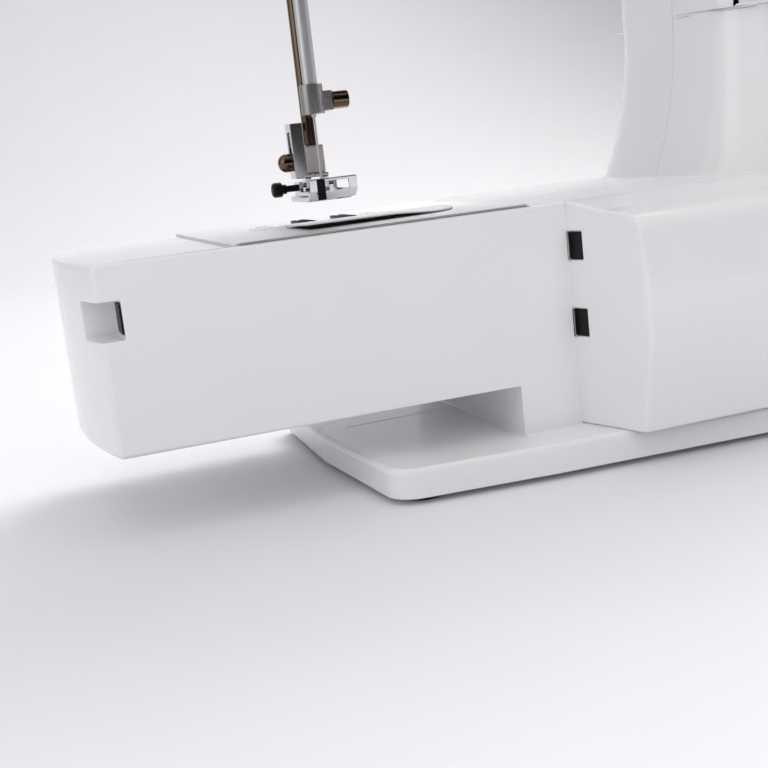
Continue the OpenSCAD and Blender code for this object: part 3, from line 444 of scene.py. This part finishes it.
def turned(points, steps=48):
    """A closed solid of revolution about Z, from (radius, height) points in millimetres."""
    work = bmesh.new()
    verts = [work.verts.new((r * MM, 0, z * MM)) for r, z in points]
    edges = [work.edges.new(pair) for pair in zip(verts, verts[1:])]
    bmesh.ops.spin(work, geom=verts + edges, cent=(0, 0, 0), axis=UP, angle=2 * math.pi, steps=steps,
                   use_merge=True)
    bmesh.ops.remove_doubles(work, verts=work.verts, dist=0.002 * MM)
    bmesh.ops.recalc_face_normals(work, faces=work.faces)
    return work


def put(work, place, axis="z"):
    """Turns a piece made about Z onto an axis and moves it to its place."""
    turn = {"z": Matrix.Identity(4), "x": Matrix.Rotation(math.pi / 2, 4, "Y"),
            "y": Matrix.Rotation(-math.pi / 2, 4, "X")}[axis]
    bmesh.ops.transform(work, matrix=Matrix.Translation(place) @ turn, verts=work.verts)
    return work


def block(low, high, width=0.0, work=None, segments=3):
    """A box between two corners with rounded edges."""
    part = bmesh.new()
    bmesh.ops.create_cube(part, size=1.0)
    span = high - low
    bmesh.ops.scale(part, vec=span, verts=part.verts)
    bmesh.ops.translate(part, vec=(low + high) / 2, verts=part.verts)
    if width:
        bmesh.ops.bevel(part, geom=part.edges[:], offset=width, offset_type="OFFSET", segments=segments,
                        profile=0.5, affect="EDGES", clamp_overlap=True, material=-1)
    return joined(work, part)


def joined(work, part):
    """Adds part to work, and gives work."""
    if work is None:
        return part
    held = bpy.data.meshes.new("held")
    part.to_mesh(held)
    part.free()
    work.from_mesh(held)
    bpy.data.meshes.remove(held)
    return work


def extruded(outline, depth, width):
    """A flat outline in X and Y, extruded up by depth, with its edges rounded. All in metres."""
    work = bmesh.new()
    face = work.faces.new([work.verts.new((x, y, 0)) for x, y in outline])
    up = bmesh.ops.extrude_face_region(work, geom=[face])["geom"]
    bmesh.ops.translate(work, vec=(0, 0, depth), verts=[v for v in up if isinstance(v, bmesh.types.BMVert)])
    bmesh.ops.recalc_face_normals(work, faces=work.faces)
    round_edges(work, width)
    return work


# ---------- studio ----------

CAMERA_PLACE = at(-142.4, -483.0, 133.1)
CAMERA_YAW, CAMERA_PITCH, CAMERA_ROLL = (math.radians(a) for a in (18.26, 11.32, -6.51))
ROOM_DARK, ROOM_LIGHT = (0.12, "2C2B2E"), (0.42, "FFFFFF")   # place from operator to rear, and colour
ROOM_STRENGTH = 0.73
AIM = Vector((0, 0, 0.1))                       # where the lamps point, in metres

# Name, place in metres, side of the square in metres, watts, colour, and whether polished metal mirrors it
LAMPS = (("top_softbox", (0.75, 0.75, 1.35), 0.9, 18, "FFFBF6", True),
         ("left_softbox", (-1.7, -0.5, 0.8), 1.2, 3.5, "FFFCF8", True),
         ("back_softbox", (0.1, 1.5, 1.2), 1.4, 3, "F7F9FF", True),
         ("front_fill", (-0.1, -1.3, 1.2), 2.0, 15, "FFFBFC", False))

# The paper's section from the operator's side to the rear, in metres: flat, a quarter bend, then upright
PAPER_FRONT, BEND_FROM, BEND_RADIUS, BEND_STEPS, PAPER_TOP = -9.0, 1.1, 0.8, 12, 3.0
PAPER_SIDE = 4


# ---------- operators ----------

class MACHINE_OT_stage(bpy.types.Operator):
    """Camera, seamless floor and soft studio light"""
    bl_idname = "machine.stage"
    bl_label = "Stage"

    def execute(self, context):
        self.camera(context.scene)
        self.paper(context.scene)
        self.room(context.scene)
        for lamp in LAMPS:
            self.lamp(context.scene, *lamp)
        return {"FINISHED"}

    def camera(self, scene):
        """The view over the free arm from its end, a little above it"""
        scene.view_settings.view_transform = "Standard"
        lens = bpy.data.cameras.new("camera")
        lens.lens = sizes().lens
        lens.sensor_width = 36.0
        lens.clip_start = 0.01
        camera = bpy.data.objects.new("camera", lens)
        camera.matrix_world = (Matrix.Translation(CAMERA_PLACE) @ Matrix.Rotation(-CAMERA_YAW, 4, "Z")
                               @ Matrix.Rotation(math.pi / 2 - CAMERA_PITCH, 4, "X")
                               @ Matrix.Rotation(CAMERA_ROLL, 4, "Z"))
        scene.collection.objects.link(camera)
        scene.camera = camera

    def paper(self, scene):
        """A sheet that lies flat and sweeps up far behind the machine"""
        work = bmesh.new()
        angles = [math.pi / 2 * i / BEND_STEPS for i in range(1, BEND_STEPS + 1)]
        bend = [(BEND_FROM + BEND_RADIUS * math.sin(a), BEND_RADIUS * (1 - math.cos(a))) for a in angles]
        section = [(PAPER_FRONT, 0), (BEND_FROM, 0), *bend, (BEND_FROM + BEND_RADIUS, PAPER_TOP)]
        verts = [work.verts.new((-PAPER_SIDE, y, z)) for y, z in section]
        edges = [work.edges.new(pair) for pair in zip(verts, verts[1:])]
        wide = bmesh.ops.extrude_edge_only(work, edges=edges)["geom"]
        bmesh.ops.translate(work, vec=(2 * PAPER_SIDE, 0, 0),
                            verts=[v for v in wide if isinstance(v, bmesh.types.BMVert)])
        for face in work.faces:
            face.smooth = True
        mesh = bpy.data.meshes.new("paper_sweep")
        work.to_mesh(mesh)
        work.free()
        mesh.materials.append(floor_paper())
        floor = bpy.data.objects.new("paper_sweep", mesh)
        scene.collection.objects.link(floor)

    def room(self, scene):
        """A white room that darkens towards the operator, which polished metal mirrors"""
        world = bpy.data.worlds.new("studio")
        world.use_nodes = True
        tree = world.node_tree
        towards = add_node(tree, "ShaderNodeTexCoord").outputs["Generated"]
        depth = add_node(tree, "ShaderNodeSeparateXYZ", {"Vector": towards})
        share = spread(tree, depth.outputs["Y"], 0.0, 1.0, -1.0, 1.0)
        ramp = add_node(tree, "ShaderNodeValToRGB", {"Fac": share})
        for stop, (place, code) in zip(ramp.color_ramp.elements, (ROOM_DARK, ROOM_LIGHT)):
            stop.position = place
            stop.color = (*linear(code), 1)
        background = tree.nodes["Background"]
        tree.links.new(ramp.outputs["Color"], background.inputs["Color"])
        background.inputs["Strength"].default_value = ROOM_STRENGTH
        scene.world = world

    def lamp(self, scene, name, place, size, watts, tint, mirrored):
        """One square soft lamp that faces the machine"""
        light = bpy.data.lights.new(name, "AREA")
        light.shape = "SQUARE"
        light.size = size
        light.energy = watts
        light.color = linear(tint)
        lamp = bpy.data.objects.new(name, light)
        lamp.location = place
        lamp.visible_glossy = mirrored
        lamp.rotation_euler = (AIM - Vector(place)).to_track_quat("-Z", "Y").to_euler()
        scene.collection.objects.link(lamp)


class MACHINE_OT_covers(bpy.types.Operator):
    """Moulded covers with rounded edges"""
    bl_idname = "machine.covers"
    bl_label = "Covers"

    def execute(self, context):
        edge = sizes().cover_edge
        for node in ("front_cover", "rear_cover", "face_cover", "top_lid"):
            softened(node, edge, gloss_abs())
        for node in ("base_front_cover", "base_rear_cover"):
            self.rolled(node, sizes().base_roll, base_rim, 0.6 * MM)
        for node in ("arm_front_cover", "arm_rear_cover"):
            self.rolled(node, sizes().arm_roll, arm_corner, 0.7 * MM)
        self.sprung_cover()
        softened("carry_handle", 1.6 * MM, gloss_abs(), segments=4)
        softened("spool_tray", 0.6 * MM, grey_abs())
        softened("rubber_feet", 0.8 * MM, rubber("moulded_foot_rubber", "2A2A2D", 0.62))
        softened("latch_sockets", 0.3 * MM, black_nylon())
        # A black block in the right jamb of the arm's notch, put there as painted shadow: it stands in for
        # the narrow slit that lies in shade there
        low = Vector((ARM_LOW.x + 15.5 * MM, ARM_LOW.y + 2.6 * MM, ARM_HIGH.z - 25.4 * MM))
        high = Vector((ARM_LOW.x + 19.4 * MM, ARM_LOW.y + 13.8 * MM, ARM_HIGH.z - 14.8 * MM))
        slit_shade = block(low, high, 0.2 * MM)
        settle("notch_slit_painted_shade", slit_shade, black_nylon(), "machine")
        return {"FINISHED"}

    def rolled(self, node, width, where, rest):
        """A cover whose outermost edges roll over generously and whose other edges are only broken"""
        work = copy_of(node)
        round_edges(work, width, segments=6, keep=where)
        round_edges(work, rest, crease=35, keep=off_base_top)
        settle(node + "_finished", work, gloss_abs(), BODY[node], (node,))

    def sprung_cover(self):
        """The hook cover, raised at its free left front and pressed down towards its right end"""
        work = copy_of("hook_cover")
        low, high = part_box("hook_cover")
        flat_from, last_cut, steps = low.x + 34 * MM, high.x - 4 * MM, 9
        slope = 0.85 * math.tan(math.radians(2.2))
        for i in range(steps):
            cut = flat_from + i * (last_cut - flat_from) / (steps - 1)
            bmesh.ops.bisect_plane(work, geom=work.verts[:] + work.edges[:] + work.faces[:], dist=0.001 * MM,
                                   plane_co=(cut, 0, 0), plane_no=(1, 0, 0))
        for vert in work.verts:
            share = min(1.0, max(0.0, (vert.co.x - flat_from) / (24 * MM)))
            vert.co.z -= slope * (high.y - vert.co.y) * share * share * (3 - 2 * share)
        round_edges(work, 0.25 * MM)
        settle("hook_cover_sprung", work, gloss_abs(), BODY["hook_cover"],
               ("hook_cover",))


class MACHINE_OT_plate(bpy.types.Operator):
    """Needle plate, its screws and guide marks, and the feed dogs"""
    bl_idname = "machine.plate"
    bl_label = "Needle plate"

    def execute(self, context):
        softened("needle_plate", 0.35 * MM, plate_steel())
        softened("plate_screws", 0.2 * MM, zinc_steel())
        softened("feed_dogs", 0.12 * MM, blued_steel(), segments=1)
        work = None
        for side in (-1, 1):
            for i in range(6):
                x = side * (15 + 3.2 * i)
                low = at(x - 0.2, -6 - (3 if i % 2 == 0 else 0), 0)
                high = at(x + 0.2, 9 + (3 if i % 2 == 0 else 0), 0)
                low.z, high.z = PLATE_TOP - 0.1 * MM, PLATE_TOP + 0.03 * MM
                work = block(low, high, 0, work)
        settle("guide_marks", work, mark_ink(), "machine")
        return {"FINISHED"}


class MACHINE_OT_foot(bpy.types.Operator):
    """Presser bar, foot holder, thumb screw, presser foot and levelling button"""
    bl_idname = "machine.foot"
    bl_label = "Presser foot"

    def execute(self, context):
        self.bar()
        softened("foot_holder", 0.4 * MM, chrome_plate())
        self.thumb_screw()
        self.foot()
        self.levelling_button()
        return {"FINISHED"}

    def bar(self):
        """The dark round bar with its collar and tongue, and the pale square block on its end"""
        block_top = BAR_LOW.z + 11.6 * MM
        collar = SPRING_FOOT - 0.1 * MM
        reach = (BAR_HIGH.z - block_top) / MM
        axis_y = middle("presser_spring").y
        rod = put(turned([(0, 0), (2.7, 0), (3, 0.3), (3, reach - 0.8), (2.4, reach), (0, reach)]),
                  Vector((NEEDLE.x, axis_y, block_top)))
        settle("presser_rod", rod, dark_nickel(), "presser", ("presser_bar",))
        ring = put(turned([(3, 0), (4.3, 0), (4.6, 0.3), (4.6, 3.7), (4.3, 4), (3, 4)]),
                   Vector((NEEDLE.x, axis_y, collar - 4 * MM)))
        tongue = block(at(-3, 12.5, (collar - 4 * MM) / MM), at(20, 26, collar / MM), 0.8 * MM)
        settle("presser_collar", joined(ring, tongue), zinc_steel(), "presser")
        end = block(at(-4, 5, BAR_LOW.z / MM), at(4, 13, block_top / MM), 0.7 * MM, segments=4)
        settle("presser_block", end, satin_nickel(), "presser")

    def thumb_screw(self):
        """A domed head on a plain shank"""
        reach = (THUMB_HIGH.x - THUMB_LOW.x) / MM
        points = [(0, reach), (1.9, reach), (1.9, 5.8), (2.6, 5.75), (3.5, 5.7), (3.8, 5.3), (3.8, 2.9),
                  (3.6, 2.2), (3.1, 1.4), (2.4, 0.7), (1.4, 0.2), (0.5, 0.02), (0, 0)]
        axis = middle("thumb_screw")
        head = put(turned(points), Vector((THUMB_LOW.x, axis.y, axis.z)), "x")
        settle("thumb_screw_domed", head, dark_nickel(), "thumb_screw",
               ("thumb_screw",))

    def levelling_button(self):
        """A black button with a softly rounded cap, a neck ring and a stem"""
        reach = (LEVEL_HIGH.x - LEVEL_LOW.x) / MM
        points = [(0, 0), (1.6, 0), (2.5, 0.25), (3.0, 0.8), (3.1, 1.5), (3.1, 3.6), (2.9, 4.1), (2.3, 4.3),
                  (1.5, 4.4), (1.5, 4.8), (2.0, 4.95), (2.0, 6.0), (1.4, 6.3), (1.4, reach), (0, reach)]
        axis = middle("levelling_button")
        cap = put(turned(points), Vector((LEVEL_LOW.x, axis.y, axis.z)), "x")
        settle("levelling_button_cap", cap, black_nylon(), "levelling_button",
               ("levelling_button",))

    def foot(self):
        """The chrome foot: a lip and a brace at its toe, bosses at its pin, side rails, and black pieces
        inside and across its toe as a painted dark reflection
        """
        softened("presser_foot", 0.3 * MM, chrome_plate())
        toe, sole, top = FOOT_LOW.y, FOOT_LOW.z, FOOT_HIGH.z
        lip = Vector((FOOT_LOW.x, toe, top - 0.9 * MM)), Vector((FOOT_HIGH.x, toe + 2.2 * MM, top))
        parts = block(*lip, 0.35 * MM)
        for side in (-1, 1):
            x = NEEDLE.x + side * 7.4 * MM
            rail = (Vector((x - 0.8 * MM, toe + 1.5 * MM, sole + 2 * MM)),
                    Vector((x + 0.8 * MM, at(0, 6, 0).y, sole + 4.2 * MM)))
            parts = block(*rail, 0.35 * MM, parts)
        brace = extruded([(-1.5 * MM, 0), (1.5 * MM, 0), (0.3 * MM, 3.4 * MM), (-0.3 * MM, 3.4 * MM)],
                         0.9 * MM, 0.2 * MM)
        brace = put(brace, Vector((NEEDLE.x + 0.8 * MM, toe + 2.2 * MM, sole + 3.5 * MM)), "y")
        for x in (-4.6, 2.2):
            boss = turned([(0, 0), (1.7, 0), (2.0, 0.3), (2.0, 2.1), (1.7, 2.4), (0, 2.4)], 32)
            parts = joined(parts, put(boss, at(x, 9, sole / MM + 6.5), "x"))
        settle("foot_fittings", joined(parts, brace), chrome_plate(), "presser_foot")
        # A black block inside the foot and a black band across its toe: painted dark reflection of the
        # polished chrome toe
        painted_toe_reflection = block(at(-6.2, -3.5, sole / MM + 2.3), at(-3.9, 4.6, sole / MM + 5.2), 0.4 * MM)
        painted_toe_reflection = block(Vector((NEEDLE.x - 7 * MM, toe - 0.3 * MM, sole + 0.5 * MM)),
                     Vector((NEEDLE.x - 3.6 * MM, toe + 0.8 * MM, top - 0.2 * MM)), 0.25 * MM, painted_toe_reflection)
        settle("foot_toe_painted_reflection", painted_toe_reflection, black_nylon(), "presser_foot")


class MACHINE_OT_needle(bpy.types.Operator):
    """Needle, needle bar, clamp and take-up lever"""
    bl_idname = "machine.needle"
    bl_label = "Needle bar"

    def execute(self, context):
        softened("needle", 0.05 * MM, ground_steel(), segments=1)
        softened("needle_bar", 0.3 * MM, ground_steel())
        softened("needle_clamp", 0.35 * MM, zinc_steel())
        softened("clamp_screw", 0.3 * MM, dark_nickel())
        softened("take_up_lever", 0.4 * MM, chrome_plate())
        return {"FINISHED"}


class MACHINE_OT_controls(bpy.types.Operator):
    """Buttons, dials, slider, display, handwheel and switches"""
    bl_idname = "machine.controls"
    bl_label = "Controls"

    def execute(self, context):
        softened("start_stop_button", 0.5 * MM, start_plastic())
        softened("reverse_button", 0.5 * MM, grey_abs())
        softened("speed_slider", 0.5 * MM, grey_abs())
        softened("tension_dial", 0.5 * MM, grey_abs())
        softened("display_window", 0.3 * MM, display_glass())
        for node in ("stitch_selector", "length_dial", "width_dial", "handwheel", "spool_pin",
                     "winder_spindle"):
            softened(node, 0.5 * MM, satin_abs())
        softened("clutch_knob", 0.5 * MM, grey_abs())
        softened("presser_lifter", 0.6 * MM, grey_abs())
        softened("inlet_panel", 0.4 * MM, black_nylon())
        softened("power_rocker", 0.6 * MM, black_nylon())
        softened("cover_screws", 0.2 * MM, zinc_steel())
        return {"FINISHED"}


class MACHINE_OT_works(bpy.types.Operator):
    """Frame, shafts, gears, hook, motor, belts and the control board"""
    bl_idname = "machine.works"
    bl_label = "Works"

    def execute(self, context):
        belt = rubber("belt_rubber", "232326", 0.55)
        for node, width, material in (
                ("cast_frame", 0.8, cast_aluminium()), ("shaft_bushes", 0.3, sintered_bronze()),
                ("needle_frame", 0.5, cast_aluminium()), ("crank_disc", 0.5, cast_aluminium()),
                ("upper_shaft", 0.4, ground_steel()), ("lower_shaft", 0.4, ground_steel()),
                ("upper_pulley", 0.4, black_nylon()), ("lower_pulley", 0.4, black_nylon()),
                ("motor_pulley", 0.3, black_nylon()), ("drive_gear", 0.2, white_nylon()),
                ("rotary_hook", 0.3, chrome_plate()), ("bobbin_case", 0.4, black_nylon()),
                ("bobbin", 0.2, clear_styrene()), ("motor", 0.8, motor_enamel()),
                ("timing_belt", 0.3, belt), ("drive_belt", 0.3, belt),
                ("control_board", 0.15, board_mask()), ("presser_spring", 0.2, ground_steel())):
            softened(node, width * MM, material)
        return {"FINISHED"}


class MACHINE_PT_panel(bpy.types.Panel):
    """Lists the machine's groups of pieces with their colours and sizes"""
    bl_label = "Sewing machine"
    bl_idname = "MACHINE_PT_panel"
    bl_space_type = "VIEW_3D"
    bl_region_type = "UI"
    bl_category = "Sewing"

    def draw(self, context):
        for step in STEPS:
            self.layout.operator(step.bl_idname)
        for group in (context.scene.machine_colours, context.scene.machine_sizes):
            for name in type(group).__annotations__:
                self.layout.prop(group, name)


STEPS = (MACHINE_OT_stage, MACHINE_OT_covers, MACHINE_OT_plate, MACHINE_OT_foot, MACHINE_OT_needle,
         MACHINE_OT_controls, MACHINE_OT_works)
CLASSES = (MachineColours, MachineSizes, *STEPS, MACHINE_PT_panel)


def register():
    for item in CLASSES:
        bpy.utils.register_class(item)
    bpy.types.Scene.machine_colours = PointerProperty(type=MachineColours)
    bpy.types.Scene.machine_sizes = PointerProperty(type=MachineSizes)


def unregister():
    del bpy.types.Scene.machine_sizes
    del bpy.types.Scene.machine_colours
    for item in reversed(CLASSES):
        bpy.utils.unregister_class(item)


def main():
    register()
    for step in STEPS:
        group, action = step.bl_idname.split(".")
        getattr(getattr(bpy.ops, group), action)()


if __name__ == "__main__":
    main()
